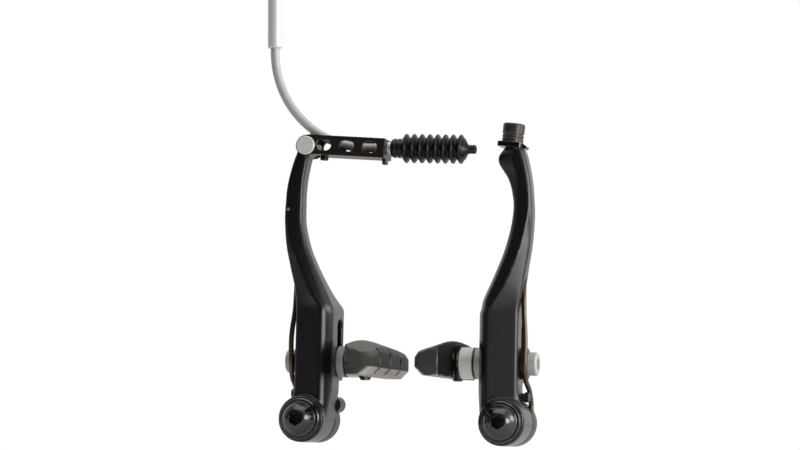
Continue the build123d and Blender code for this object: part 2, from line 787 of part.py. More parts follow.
def side_pieces():
    """The pieces that both sides have, drawn about the right pivot."""
    pieces = {
        "bushing": bushing(),
        "pivot_bolt": pivot_bolt(),
        "pivot_washer": pivot_washer(),
        "spring_holder": spring_holder(),
        "stop_peg": stop_peg(),
        "return_spring": return_spring(),
        "tension_screw": tension_screw(),
        "brake_pad": brake_pad(),
        "pad_post": pad_post(),
        "pad_nut": pad_nut(),
    }
    pieces.update(ball_washers())
    return pieces


def all_pieces():
    """Every node of the brake in its place."""
    right = Pos(half_spacing, 0, 0)
    nodes = {}
    for name, piece in side_pieces().items():
        nodes["right_" + name] = right * piece
        nodes["left_" + name] = mirror(right * piece, about=Plane.YZ)
    nodes["left_arm"] = mirror(right * left_arm(), about=Plane.YZ)
    nodes["right_arm"] = right * right_arm()
    nodes["clamp_bolt"] = right * clamp_bolt()
    nodes["clamp_plate"] = right * clamp_plate()
    for make in (link, link_pin, guide_pipe, pipe_ferrule, pipe_tip, boot):
        nodes[make.__name__] = make()
    return nodes


os.makedirs("parts", exist_ok=True)
for node, shape in all_pieces().items():
    export_step(shape, f"parts/{node}.step")
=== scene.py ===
import bpy
import json
from math import asin, cos, pi, radians, sin, sqrt
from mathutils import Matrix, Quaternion, Vector


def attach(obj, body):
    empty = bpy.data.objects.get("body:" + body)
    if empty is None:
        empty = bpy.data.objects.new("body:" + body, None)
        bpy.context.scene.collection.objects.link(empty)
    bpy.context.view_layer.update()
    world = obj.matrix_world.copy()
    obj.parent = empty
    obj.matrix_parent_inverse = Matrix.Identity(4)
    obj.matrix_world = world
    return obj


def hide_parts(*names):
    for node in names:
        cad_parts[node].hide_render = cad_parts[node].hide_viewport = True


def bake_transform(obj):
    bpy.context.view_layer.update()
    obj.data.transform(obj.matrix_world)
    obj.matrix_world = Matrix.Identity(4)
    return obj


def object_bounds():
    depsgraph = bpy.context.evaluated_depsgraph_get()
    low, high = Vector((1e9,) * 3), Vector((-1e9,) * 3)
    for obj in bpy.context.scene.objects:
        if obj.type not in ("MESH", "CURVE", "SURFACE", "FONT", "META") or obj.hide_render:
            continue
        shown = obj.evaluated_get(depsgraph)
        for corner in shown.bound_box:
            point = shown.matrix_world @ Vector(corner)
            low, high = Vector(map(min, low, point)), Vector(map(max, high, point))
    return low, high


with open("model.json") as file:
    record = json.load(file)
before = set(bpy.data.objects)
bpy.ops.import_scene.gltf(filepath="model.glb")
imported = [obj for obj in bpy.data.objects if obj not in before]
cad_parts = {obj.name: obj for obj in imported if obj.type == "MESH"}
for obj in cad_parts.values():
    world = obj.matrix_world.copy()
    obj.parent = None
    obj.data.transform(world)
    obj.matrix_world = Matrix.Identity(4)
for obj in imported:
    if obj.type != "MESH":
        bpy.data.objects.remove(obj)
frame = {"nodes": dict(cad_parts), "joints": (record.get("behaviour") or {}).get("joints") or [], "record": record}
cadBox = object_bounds()
cadNodes = frame["nodes"]
joints = {joint["name"]: joint for joint in frame["joints"]}
mm = 0.001
print("frame loaded with", len(cadNodes), "nodes")

# Camera, at the photograph's angle
cameraSetup = {
    "azimuth": 14.5,
    "elevation": -5.0,
    "roll": 1.2,
    "distance": 1.0,
    "lens": 114.3,
    "sensor": 36.0,
    "clipStart": 0.01,
    "target": (-0.00429, -0.015, 0.07686),
}


def addCamera(setup):
    turn, tilt = radians(setup["azimuth"]), radians(setup["elevation"])
    back = Vector((sin(turn) * cos(tilt), -cos(turn) * cos(tilt), sin(tilt)))
    bpy.ops.object.camera_add(location=Vector(setup["target"]) + back * setup["distance"])
    camera = bpy.context.object
    camera.rotation_mode = "QUATERNION"
    level = back.to_track_quat("Z", "Y")
    camera.rotation_quaternion = level @ Quaternion((0, 0, 1), radians(setup["roll"]))
    camera.data.sensor_fit = "HORIZONTAL"
    camera.data.sensor_width = setup["sensor"]
    camera.data.lens = setup["lens"]
    camera.data.clip_start = setup["clipStart"]
    bpy.context.scene.camera = camera


# Studio: pale floor, soft lamps, and a world that is white behind the brake and dark in front of it
studio = {
    "floorDrop": 0.014,
    "floorSize": 2.0,
    "floorBack": 0.7,
    "floorColour": (0.86, 0.86, 0.86, 1),
    "floorRoughness": 0.8,
    "fadeStart": 0.07,
    "fadeEnd": 0.28,
    "brightWay": (0.40, 0.90, 0.0),
    "darkest": -0.95,
    "brightest": 0.35,
    "diffuseFront": 0.16,
    "diffuseBack": 0.70,
    "mirrorFront": 0.045,
    "mirrorBack": 0.85,
    "lamps": {
        "keyLamp": {"place": (0.73, -0.43, 0.11), "size": 0.46, "power": 3.4},
        "sideLamp": {"place": (0.85, 0.10, 0.30), "size": 0.45, "power": 2.6},
        "topLamp": {"place": (0.0, -0.20, 0.90), "size": 1.0, "power": 2.6},
    },
    "aim": (0.0, -0.015, 0.07),
}


def addFloor(setup):
    place = (0, setup["floorBack"], cadBox[0][2] - setup["floorDrop"])
    bpy.ops.mesh.primitive_plane_add(size=setup["floorSize"], location=place)
    bpy.ops.object.transform_apply(location=True, rotation=True, scale=True)
    floor = bpy.context.object
    floor.name = "studioFloor"
    paper = bpy.data.materials.new("paper")
    paper.use_nodes = True
    nodes, links = paper.node_tree.nodes, paper.node_tree.links
    shader = nodes["Principled BSDF"]
    shader.inputs["Base Color"].default_value = setup["floorColour"]
    shader.inputs["Roughness"].default_value = setup["floorRoughness"]
    # Away from the brake the camera sees the paper white, as the backdrop is
    spot = nodes.new("ShaderNodeTexCoord")
    away = nodes.new("ShaderNodeVectorMath")
    away.operation = "LENGTH"
    links.new(spot.outputs["Object"], away.inputs[0])
    fade = nodes.new("ShaderNodeMapRange")
    fade.interpolation_type = "SMOOTHSTEP"
    fade.inputs["From Min"].default_value = setup["fadeStart"]
    fade.inputs["From Max"].default_value = setup["fadeEnd"]
    links.new(away.outputs["Value"], fade.inputs["Value"])
    path = nodes.new("ShaderNodeLightPath")
    share = nodes.new("ShaderNodeMath")
    share.operation = "MULTIPLY"
    links.new(fade.outputs["Result"], share.inputs[0])
    links.new(path.outputs["Is Camera Ray"], share.inputs[1])
    glow = nodes.new("ShaderNodeEmission")
    blend = nodes.new("ShaderNodeMixShader")
    links.new(share.outputs[0], blend.inputs[0])
    links.new(shader.outputs[0], blend.inputs[1])
    links.new(glow.outputs[0], blend.inputs[2])
    links.new(blend.outputs[0], nodes["Material Output"].inputs["Surface"])
    floor.data.materials.append(paper)


def addLamps(setup):
    for name, lamp in setup["lamps"].items():
        bpy.ops.object.light_add(type="AREA", location=lamp["place"])
        light = bpy.context.object
        light.name = name
        light.data.shape = "DISK"
        light.data.size = lamp["size"]
        light.data.energy = lamp["power"]
        aim = Vector(setup["aim"]) - Vector(lamp["place"])
        light.rotation_euler = aim.to_track_quat("-Z", "Y").to_euler()


def addWorld(setup):
    world = bpy.data.worlds.new("studio")
    world.use_nodes = True
    bpy.context.scene.world = world
    nodes, links = world.node_tree.nodes, world.node_tree.links
    place = nodes.new("ShaderNodeTexCoord")
    lean = nodes.new("ShaderNodeVectorMath")
    lean.operation = "DOT_PRODUCT"
    lean.inputs[1].default_value = setup["brightWay"]
    links.new(place.outputs["Generated"], lean.inputs[0])
    spreads = {}
    for kind in ("diffuse", "mirror"):
        spread = nodes.new("ShaderNodeMapRange")
        spread.interpolation_type = "SMOOTHSTEP"
        spread.inputs["From Min"].default_value = setup["darkest"]
        spread.inputs["From Max"].default_value = setup["brightest"]
        spread.inputs["To Min"].default_value = setup[kind + "Front"]
        spread.inputs["To Max"].default_value = setup[kind + "Back"]
        links.new(lean.outputs["Value"], spread.inputs["Value"])
        spreads[kind] = spread
    path = nodes.new("ShaderNodeLightPath")
    mirrorRay = nodes.new("ShaderNodeMath")
    mirrorRay.operation = "MAXIMUM"
    links.new(path.outputs["Is Glossy Ray"], mirrorRay.inputs[0])
    links.new(path.outputs["Is Transmission Ray"], mirrorRay.inputs[1])
    bounce = nodes.new("ShaderNodeMix")
    links.new(mirrorRay.outputs[0], bounce.inputs["Factor"])
    links.new(spreads["diffuse"].outputs["Result"], bounce.inputs[2])
    links.new(spreads["mirror"].outputs["Result"], bounce.inputs[3])
    seen = nodes.new("ShaderNodeMix")
    links.new(path.outputs["Is Camera Ray"], seen.inputs["Factor"])
    links.new(bounce.outputs[0], seen.inputs[2])
    seen.inputs[3].default_value = 1.0
    background = nodes["Background"]
    links.new(seen.outputs[0], background.inputs["Strength"])
    background.inputs["Color"].default_value = (1, 1, 1, 1)


bpy.context.scene.view_settings.view_transform = "Standard"
addCamera(cameraSetup)
addFloor(studio)
addLamps(studio)
addWorld(studio)
print("camera, floor and lights set")


# Shared effects, each a node group; pairs are the limits between which a mask or value runs
effects = {
    "fineDetail": 4.0,
    "broadDetail": 2.0,
    "patchDetail": 4.0,
    "chipDetail": 3.0,
    "bevelSamples": 6,
    "rubTurn": (0.90, 0.995),
    "rubPatch": (0.42, 0.62),
    "rubReach": 2,
    "rubScale": 3,
    "chipScale": 1600.0,
    "chipRagged": (0.3, 1.7),
    "chipRim": (0.8, 1.0),
    # painted reflection: faces turned down, and less so faces turned up, are lightened
    "sheenBelow": (-0.45, -0.65),
    "sheenAbove": (0.45, 0.70),
    "sheenOnTop": 0.22,
    "sheenPatch": (0.35, 0.60),
    "sheenThin": 0.75,
    "sheenScale": 4,
    "recessSamples": 8,
    "recessOpen": (0.25, 0.60),
    "roughGrain": (0.3, 0.7),
}


def newGroup(name, inputs, outputs):
    group = bpy.data.node_groups.new(name, "ShaderNodeTree")
    for label, kind in inputs.items():
        group.interface.new_socket(label, in_out="INPUT", socket_type=kind)
    for label, kind in outputs.items():
        group.interface.new_socket(label, in_out="OUTPUT", socket_type=kind)
    start = group.nodes.new("NodeGroupInput")
    end = group.nodes.new("NodeGroupOutput")
    return group, start, end


def addMath(tree, operation, first, second=None):
    node = tree.nodes.new("ShaderNodeMath")
    node.operation = operation
    for socket, value in zip(node.inputs, (first, second)):
        if isinstance(value, (int, float)):
            socket.default_value = value
        elif value is not None:
            tree.links.new(value, socket)
    return node.outputs[0]


def addSpread(tree, value, low, high, fromLow=0.0, fromHigh=1.0):
    node = tree.nodes.new("ShaderNodeMapRange")
    for socket, given in zip(node.inputs, (value, fromLow, fromHigh, low, high)):
        if isinstance(given, (int, float)):
            socket.default_value = given
        else:
            tree.links.new(given, socket)
    return node.outputs["Result"]


def addNoise(tree, scale, detail):
    node = tree.nodes.new("ShaderNodeTexNoise")
    place = tree.nodes.new("ShaderNodeTexCoord")
    tree.links.new(place.outputs["Object"], node.inputs["Vector"])
    if isinstance(scale, (int, float)):
        node.inputs["Scale"].default_value = scale
    else:
        tree.links.new(scale, node.inputs["Scale"])
    node.inputs["Detail"].default_value = detail
    return node.outputs["Fac"]


def makeGrainGroup():
    inputs = {"Fine Scale": "NodeSocketFloat", "Broad Scale": "NodeSocketFloat"}
    outputs = {"Fine": "NodeSocketFloat", "Broad": "NodeSocketFloat"}
    group, start, end = newGroup("surfaceGrain", inputs, outputs)
    fine = addNoise(group, start.outputs["Fine Scale"], effects["fineDetail"])
    broad = addNoise(group, start.outputs["Broad Scale"], effects["broadDetail"])
    group.links.new(fine, end.inputs["Fine"])
    group.links.new(broad, end.inputs["Broad"])
    return group


def makeRubGroup():
    inputs = {"Radius": "NodeSocketFloat", "Patch Scale": "NodeSocketFloat"}
    group, start, end = newGroup("edgeRub", inputs, {"Mask": "NodeSocketFloat"})
    rounded = group.nodes.new("ShaderNodeBevel")
    rounded.samples = effects["bevelSamples"]
    group.links.new(start.outputs["Radius"], rounded.inputs["Radius"])
    plain = group.nodes.new("ShaderNodeNewGeometry")
    turn = group.nodes.new("ShaderNodeVectorMath")
    turn.operation = "DOT_PRODUCT"
    group.links.new(rounded.outputs["Normal"], turn.inputs[0])
    group.links.new(plain.outputs["Normal"], turn.inputs[1])
    edge = addSpread(group, turn.outputs["Value"], 1.0, 0.0, *effects["rubTurn"])
    noise = addNoise(group, start.outputs["Patch Scale"], effects["patchDetail"])
    patch = addSpread(group, noise, 0.0, 1.0, *effects["rubPatch"])
    group.links.new(addMath(group, "MULTIPLY", edge, patch), end.inputs["Mask"])
    return group


def makeChipGroup():
    inputs = {"Place": "NodeSocketVector", "Size": "NodeSocketFloat"}
    group, start, end = newGroup("paintChip", inputs, {"Mask": "NodeSocketFloat"})
    place = group.nodes.new("ShaderNodeTexCoord")
    gap = group.nodes.new("ShaderNodeVectorMath")
    gap.operation = "DISTANCE"
    group.links.new(place.outputs["Object"], gap.inputs[0])
    group.links.new(start.outputs["Place"], gap.inputs[1])
    noise = addNoise(group, effects["chipScale"], effects["chipDetail"])
    ragged = addSpread(group, noise, *effects["chipRagged"])
    reach = addMath(group, "MULTIPLY", gap.outputs["Value"], ragged)
    share = addMath(group, "DIVIDE", reach, start.outputs["Size"])
    mask = addSpread(group, share, 1.0, 0.0, *effects["chipRim"])
    group.links.new(mask, end.inputs["Mask"])
    return group


# Painted reflection: a mask by which way a face turns, strongest facing down and weaker facing up, varied in
# patches; it lightens faces as if they mirrored the bright floor and lamps
def makeSlopeSheenGroup():
    inputs = {"Patch Scale": "NodeSocketFloat"}
    group, start, end = newGroup("slopeSheenPaint", inputs, {"Mask": "NodeSocketFloat"})
    place = group.nodes.new("ShaderNodeTexCoord")
    split = group.nodes.new("ShaderNodeSeparateXYZ")
    group.links.new(place.outputs["Normal"], split.inputs[0])
    below = addSpread(group, split.outputs["Z"], 0.0, 1.0, *effects["sheenBelow"])
    above = addSpread(group, split.outputs["Z"], 0.0, effects["sheenOnTop"], *effects["sheenAbove"])
    slope = addMath(group, "MAXIMUM", below, above)
    noise = addNoise(group, start.outputs["Patch Scale"], effects["patchDetail"])
    patch = addSpread(group, noise, effects["sheenThin"], 1.0, *effects["sheenPatch"])
    group.links.new(addMath(group, "MULTIPLY", slope, patch), end.inputs["Mask"])
    return group


# Painted shade: a mask that rises from 0 to 1 as the distance across from the middle (|x|) runs from Start to End
def makeShadeBandGroup():
    inputs = {"Start": "NodeSocketFloat", "End": "NodeSocketFloat"}
    group, start, end = newGroup("paintedShadeBand", inputs, {"Mask": "NodeSocketFloat"})
    place = group.nodes.new("ShaderNodeTexCoord")
    split = group.nodes.new("ShaderNodeSeparateXYZ")
    group.links.new(place.outputs["Object"], split.inputs[0])
    across = addMath(group, "ABSOLUTE", split.outputs["X"])
    mask = addSpread(group, across, 0.0, 1.0, start.outputs["Start"], start.outputs["End"])
    group.links.new(mask, end.inputs["Mask"])
    return group


# Painted shade: a mask that is 1 where the surface is closed in by itself, as in sockets and grooves
def makeRecessGroup():
    inputs = {"Reach": "NodeSocketFloat"}
    group, start, end = newGroup("recessShade", inputs, {"Mask": "NodeSocketFloat"})
    closeBy = group.nodes.new("ShaderNodeAmbientOcclusion")
    closeBy.samples = effects["recessSamples"]
    closeBy.only_local = True
    group.links.new(start.outputs["Reach"], closeBy.inputs["Distance"])
    mask = addSpread(group, closeBy.outputs["AO"], 1.0, 0.0, *effects["recessOpen"])
    group.links.new(mask, end.inputs["Mask"])
    return group


groups = {
    "grain": makeGrainGroup(),
    "rub": makeRubGroup(),
    "chip": makeChipGroup(),
    "slopeSheen": makeSlopeSheenGroup(),
    "shadeBand": makeShadeBandGroup(),
    "recess": makeRecessGroup(),
}
print("shared surface effects made")

# Finishes: those of the record's slots, and three for small parts; lengths in metres, scales per metre
finishes = {
    "arm_black": {
        "dark": (0.0066, 0.0046, 0.0064),
        "light": (0.0105, 0.0076, 0.0102),
        "rubbed": (0.03, 0.028, 0.03),
        "roughness": (0.24, 0.27),
        "metallic": 0.0,
        "specular": 0.5,
        "fineScale": 4200.0,
        "broadScale": 45.0,
        "bump": 0.0000005,
        "edge": 0.0003,
        "chips": (((-0.0488, -0.0205, 0.0828), 0.0007), ((-0.0447, -0.0212, 0.0638), 0.0006)),
        "chipColour": (0.22, 0.22, 0.22),
    },
    "bolt_black": {
        "dark": (0.068, 0.065, 0.064),
        "light": (0.100, 0.096, 0.094),
        "rubbed": (0.22, 0.215, 0.21),
        "roughness": (0.16, 0.22),
        "metallic": 1.0,
        "recess": 0.004,
        "fineScale": 3200.0,
        "broadScale": 120.0,
        "bump": 0.0000015,
        "edge": 0.0002,
    },
    "link_black": {
        "dark": (0.011, 0.0082, 0.0068),
        "light": (0.018, 0.014, 0.0115),
        "rubbed": (0.10, 0.095, 0.09),
        "roughness": (0.26, 0.34),
        "metallic": 0.0,
        "specular": 0.3,
        "fineScale": 2400.0,
        "broadScale": 90.0,
        "bump": 0.000003,
        "edge": 0.0002,
    },
    "bright_steel": {
        "dark": (0.44, 0.44, 0.42),
        "light": (0.52, 0.52, 0.50),
        "rubbed": (0.62, 0.615, 0.60),
        "roughness": (0.42, 0.52),
        "metallic": 0.2,
        "fineScale": 2800.0,
        "broadScale": 160.0,
        "bump": 0.000005,
        "edge": 0.00015,
    },
    "silver_aluminium": {
        "dark": (0.68, 0.68, 0.67),
        "light": (0.76, 0.76, 0.75),
        "rubbed": (0.82, 0.82, 0.81),
        "roughness": (0.36, 0.46),
        "metallic": 0.3,
        "fineScale": 3000.0,
        "broadScale": 140.0,
        "bump": 0.000006,
        "edge": 0.00015,
    },
    "satin_zinc": {
        "dark": (0.76, 0.742, 0.70),
        "light": (0.85, 0.833, 0.79),
        "rubbed": (0.88, 0.87, 0.84),
        "roughness": (0.36, 0.46),
        "metallic": 0.35,
        "fineScale": 2800.0,
        "broadScale": 220.0,
        "bump": 0.000004,
        "edge": 0.00015,
    },
    "washer_zinc": {
        "dark": (0.84, 0.823, 0.775),
        "light": (0.90, 0.884, 0.838),
        "rubbed": (0.92, 0.91, 0.88),
        # painted shadow on the washer beyond 25.7 mm across, in the joint between the dome washers
        "bands": ((0.0253, 0.0257, (0.010, 0.010, 0.010)),),
        "roughness": (0.38, 0.48),
        "metallic": 0.1,
        "fineScale": 2800.0,
        "broadScale": 220.0,
        "bump": 0.000004,
        "edge": 0.00015,
    },
    "clamp_bronze": {
        "dark": (0.019, 0.015, 0.0125),
        "light": (0.036, 0.029, 0.024),
        "rubbed": (0.36, 0.31, 0.23),
        "recess": 0.004,
        "roughness": (0.28, 0.36),
        "metallic": 0.0,
        "specular": 0.4,
        "fineScale": 1400.0,
        "broadScale": 220.0,
        "bump": 0.0000005,
        "edge": 0.0002,
    },
    "dark_steel": {
        "dark": (0.055, 0.055, 0.058),
        "light": (0.12, 0.12, 0.122),
        "rubbed": (0.28, 0.28, 0.28),
        "roughness": (0.28, 0.42),
        "metallic": 1.0,
        "fineScale": 3000.0,
        "broadScale": 200.0,
        "bump": 0.000005,
        "edge": 0.00015,
    },
    "spring_wire": {
        "dark": (0.060, 0.047, 0.034),
        "light": (0.17, 0.14, 0.105),
        "rubbed": (0.25, 0.22, 0.18),
        "roughness": (0.26, 0.42),
        "metallic": 1.0,
        "fineScale": 2600.0,
        "broadScale": 130.0,
        "bump": 0.000006,
        "edge": 0.0001,
    },
    "pad_rubber": {
        "dark": (0.031, 0.0285, 0.0265),
        "light": (0.074, 0.069, 0.064),
        "rubbed": (0.42, 0.40, 0.37),
        "roughness": (0.54, 0.66),
        "metallic": 0.0,
        "specular": 0.12,
        # painted reflection colour for the pads' up- and down-facing chamfers
        "paintedSheen": (0.46, 0.432, 0.398),
        # painted shade on the pad's back face and boss
        "bands": ((0.0176, 0.0182, (0.003, 0.003, 0.003)),),
        "sheen": 0.4,
        "fineScale": 1900.0,
        "broadScale": 110.0,
        "bump": 0.00003,
        "edge": 0.0005,
    },
    "boot_rubber": {
        "dark": (0.007, 0.0056, 0.0062),
        "light": (0.0118, 0.0098, 0.0105),
        "rubbed": (0.024, 0.023, 0.023),
        "roughness": (0.20, 0.28),
        "metallic": 0.0,
        "specular": 0.3,
        "fineScale": 2200.0,
        "broadScale": 130.0,
        "bump": 0.000002,
        "edge": 0.0002,
    },
    "holder_plastic": {
        "dark": (0.010, 0.010, 0.010),
        "light": (0.018, 0.018, 0.018),
        "rubbed": (0.07, 0.07, 0.07),
        "roughness": (0.34, 0.46),
        "metallic": 0.0,
        "fineScale": 2400.0,
        "broadScale": 100.0,
        "bump": 0.000012,
        "edge": 0.0002,
    },
}
# Painted shade, near black, for sockets and deep grooves
paintedRecessShade = (0.002, 0.002, 0.002)  # in sockets and deep grooves


def mixColour(tree, share, first, second):
    node = tree.nodes.new("ShaderNodeMix")
    node.data_type = "RGBA"
    tree.links.new(share, node.inputs["Factor"])
    for socket, given in zip((node.inputs[6], node.inputs[7]), (first, second)):
        if isinstance(given, tuple):
            socket.default_value = (*given, 1)
        else:
            tree.links.new(given, socket)
    return node.outputs[2]


def placeGroup(tree, group, values):
    node = tree.nodes.new("ShaderNodeGroup")
    node.node_tree = groups[group]
    for label, value in values.items():
        node.inputs[label].default_value = value
    return node


def makeFinish(name, look):
    material = bpy.data.materials.new(name)
    material.use_nodes = True
    tree = material.node_tree
    shader = tree.nodes["Principled BSDF"]
    shader.inputs["Metallic"].default_value = look["metallic"]
    shader.inputs["Specular IOR Level"].default_value = look.get("specular", 0.5)
    sheen = look.get("sheen", 1.0)
    shader.inputs["Specular Tint"].default_value = (sheen, sheen, sheen, 1)
    fine, broad = look["fineScale"], look["broadScale"]
    grain = placeGroup(tree, "grain", {"Fine Scale": fine, "Broad Scale": broad})
    colour = mixColour(tree, grain.outputs["Broad"], look["dark"], look["light"])
    # Painted reflection: faces turned down or up are lightened
    if "paintedSheen" in look:
        slopeSheen = placeGroup(tree, "slopeSheen", {"Patch Scale": broad * effects["sheenScale"]})
        colour = mixColour(tree, slopeSheen.outputs["Mask"], colour, look["paintedSheen"])
    # Painted shade beyond a given distance across: the pads' backs and the dome washers' joint
    for start, end, shade in look.get("bands", ()):
        shadeBand = placeGroup(tree, "shadeBand", {"Start": start, "End": end})
        colour = mixColour(tree, shadeBand.outputs["Mask"], colour, shade)
    reach = look["edge"] * effects["rubReach"]
    rub = placeGroup(tree, "rub", {"Radius": reach, "Patch Scale": broad * effects["rubScale"]})
    colour = mixColour(tree, rub.outputs["Mask"], colour, look["rubbed"])
    for place, size in look.get("chips", ()):
        chip = placeGroup(tree, "chip", {"Place": place, "Size": size})
        colour = mixColour(tree, chip.outputs["Mask"], colour, look["chipColour"])
    # Painted shade: sockets and grooves turn near black
    if "recess" in look:
        recess = placeGroup(tree, "recess", {"Reach": look["recess"]})
        colour = mixColour(tree, recess.outputs["Mask"], colour, paintedRecessShade)
    tree.links.new(colour, shader.inputs["Base Color"])
    rough = addSpread(tree, grain.outputs["Fine"], *look["roughness"], *effects["roughGrain"])
    tree.links.new(rough, shader.inputs["Roughness"])
    rounded = tree.nodes.new("ShaderNodeBevel")
    rounded.samples = effects["bevelSamples"]
    rounded.inputs["Radius"].default_value = look["edge"]
    bump = tree.nodes.new("ShaderNodeBump")
    bump.inputs["Distance"].default_value = look["bump"]
    tree.links.new(grain.outputs["Fine"], bump.inputs["Height"])
    tree.links.new(rounded.outputs["Normal"], bump.inputs["Normal"])
    tree.links.new(bump.outputs["Normal"], shader.inputs["Normal"])
    return material


materials = {name: makeFinish(name, look) for name, look in finishes.items()}
slots = {row["node"]: row["material_slot"] for row in frame["record"]["subparts"]}
finishOf = dict(slots)
finishOf["left_inner_dome_washer"] = "washer_zinc"
finishOf["right_inner_dome_washer"] = "washer_zinc"
finishOf["link_pin"] = "satin_zinc"
finishOf["pipe_tip"] = "satin_zinc"
finishOf["clamp_bolt"] = "clamp_bronze"
for node, part in cadNodes.items():
    for slot in part.material_slots:
        slot.material = materials[finishOf[node]]
print("finishes put on", len(slots), "nodes")


# Modelling helpers; the weld is the gap in metres that is closed when doubles are merged
weld = 0.000001


def deselect():
    bpy.ops.object.select_all(action="DESELECT")


def editAll():
    bpy.ops.object.mode_set(mode="EDIT")
    bpy.ops.mesh.select_all(action="SELECT")


def selectVerts(piece, test):
    bpy.ops.object.mode_set(mode="OBJECT")
    for vertex in piece.data.vertices:
        vertex.select = test(vertex.co)
    for edge in piece.data.edges:
        edge.select = all(piece.data.vertices[i].select for i in edge.vertices)
    for face in piece.data.polygons:
        face.select = all(piece.data.vertices[i].select for i in face.vertices)
    bpy.ops.object.mode_set(mode="EDIT")


def closeMesh(gap=weld):
    bpy.ops.mesh.select_all(action="SELECT")
    bpy.ops.mesh.remove_doubles(threshold=gap)
    bpy.ops.mesh.normals_make_consistent(inside=False)
    bpy.ops.object.mode_set(mode="OBJECT")


def applyModifier(piece, kind, **values):
    modifier = piece.modifiers.new(kind.lower(), kind)
    for label, value in values.items():
        setattr(modifier, label, value)
    bpy.context.view_layer.objects.active = piece
    bpy.ops.object.modifier_apply(modifier=modifier.name)


def cutAway(place, normal):
    bpy.ops.mesh.select_all(action="SELECT")
    bpy.ops.mesh.bisect(
        plane_co=place, plane_no=normal, use_fill=True, clear_outer=True, threshold=weld
    )


def joinTool(piece, tool, operation):
    applyModifier(piece, "BOOLEAN", object=tool, operation=operation, solver="EXACT")
    bpy.data.objects.remove(tool)


def finishPiece(piece, name, node, body=None):
    piece.name = name
    piece.data.name = name
    piece.data.materials.clear()
    piece.data.materials.append(materials[finishOf[node]])
    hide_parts(node)
    if body:
        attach(piece, body)


# Arms: welded copies of the forgings, remeshed evenly, with edges rounded as paint rounds them
armShape = {
    "gap": 0.000002,
    "voxel": 0.0004,
    "roundFactor": 0.5,
    "roundSteps": 20,
    "keep": 0.35,
    "shrink": 0.00005,
}


def copyNode(node, name, gap):
    deselect()
    piece = bpy.data.objects.new(name, cadNodes[node].data.copy())
    bpy.context.scene.collection.objects.link(piece)
    piece.select_set(True)
    bpy.context.view_layer.objects.active = piece
    editAll()
    closeMesh(gap)
    return piece


# The clamp bolt's bore breaks through the right arm's front: it is closed and bored again, narrower
boreShape = {
    "seat": (40.25, -15.5, 107.0),
    "lean": 5.5,
    "slab": (97.0, 105.3),
    "plugRadius": 2.53,
    "plugDepth": 3.0,
    "radius": 1.7,
    "depth": 8.0,
    "over": 2.0,
    "sides": 48,
}
clampTurn = Quaternion((0, 1, 0), radians(boreShape["lean"]))
clampSeat = Vector(boreShape["seat"]) * mm


def clampRod(radius, low, high):
    deselect()
    middle = clampSeat + clampTurn @ Vector((0, 0, (low + high) / 2 * mm))
    bpy.ops.mesh.primitive_cylinder_add(
        vertices=boreShape["sides"],
        radius=radius * mm,
        depth=(high - low) * mm,
        location=middle,
        rotation=clampTurn.to_euler(),
    )
    bpy.ops.object.transform_apply(location=True, rotation=True, scale=True)
    return bpy.context.object


def closeBore(piece, shape):
    slab = copyNode("right_arm", "boreSlab", armShape["gap"])
    editAll()
    low, high = shape["slab"]
    cutAway((0, 0, low * mm), (0, 0, -1))
    cutAway((0, 0, high * mm), (0, 0, 1))
    bpy.ops.mesh.select_all(action="SELECT")
    bpy.ops.mesh.convex_hull(use_existing_faces=False)
    closeMesh(armShape["gap"])
    plug = clampRod(shape["plugRadius"], -shape["plugDepth"], 0)
    deselect()
    for part in (slab, plug, piece):
        part.select_set(True)
    bpy.context.view_layer.objects.active = piece
    bpy.ops.object.join()


def addArm(side, shape):
    node = side + "_arm"
    piece = copyNode(node, side + "_forged_arm", shape["gap"])
    if side == "right":
        closeBore(piece, boreShape)
    applyModifier(piece, "REMESH", mode="VOXEL", voxel_size=shape["voxel"], use_smooth_shade=True)
    applyModifier(piece, "SMOOTH", factor=shape["roundFactor"], iterations=shape["roundSteps"])
    applyModifier(piece, "DECIMATE", ratio=shape["keep"])
    applyModifier(piece, "DISPLACE", strength=-shape["shrink"], mid_level=0)
    if side == "right":
        bore = clampRod(boreShape["radius"], -boreShape["depth"], boreShape["over"])
        joinTool(piece, bore, "DIFFERENCE")
    deselect()
    piece.select_set(True)
    bpy.ops.object.shade_smooth()
    finishPiece(piece, side + "_forged_arm", node, node)


for side in ("left", "right"):
    addArm(side, armShape)
print("arms rounded")

# Rubber boot: one ring, extruded along the pipe's line rib by rib and back through the inside
swivelPoint = Vector(joints["pipe_swivel"]["pos_m"])
pipeAxis = Vector(joints["pipe_swivel"]["axis"])
bootShape = {
    "start": 1.7,
    "neckLength": 4.4,
    "neckRadius": 3.5,
    "neckChamfer": 0.3,
    "neckEdge": 0.2,
    "beadShares": (0.3, 0.7),
    "beadSteps": (-1.0, -0.6, -0.25, 0.25, 0.6, 1.0),
    "beadHeight": 0.38,
    "beadHalf": 0.75,
    "ribCount": 8,
    "ribPitch": 3.15,
    "ribRadius": 5.8,
    "valleyRadius": 4.15,
    "ribCurve": ((-0.5, 0.0), (-0.42, 0.04), (-0.18, 0.72), (-0.10, 0.93), (0.0, 1.0)),
    "coneLength": 1.2,
    "nubRadius": 1.75,
    "nubLength": 3.2,
    "nubRound": 0.3,
    "nubFlare": (0.4, 0.25),
    "bore": 1.0,
    "chamber": 3.0,
    "mouth": 2.32,
    "wall": 1.0,
    "sides": 64,
    "gap": 0.000002,
    "smoothAngle": 50,
}


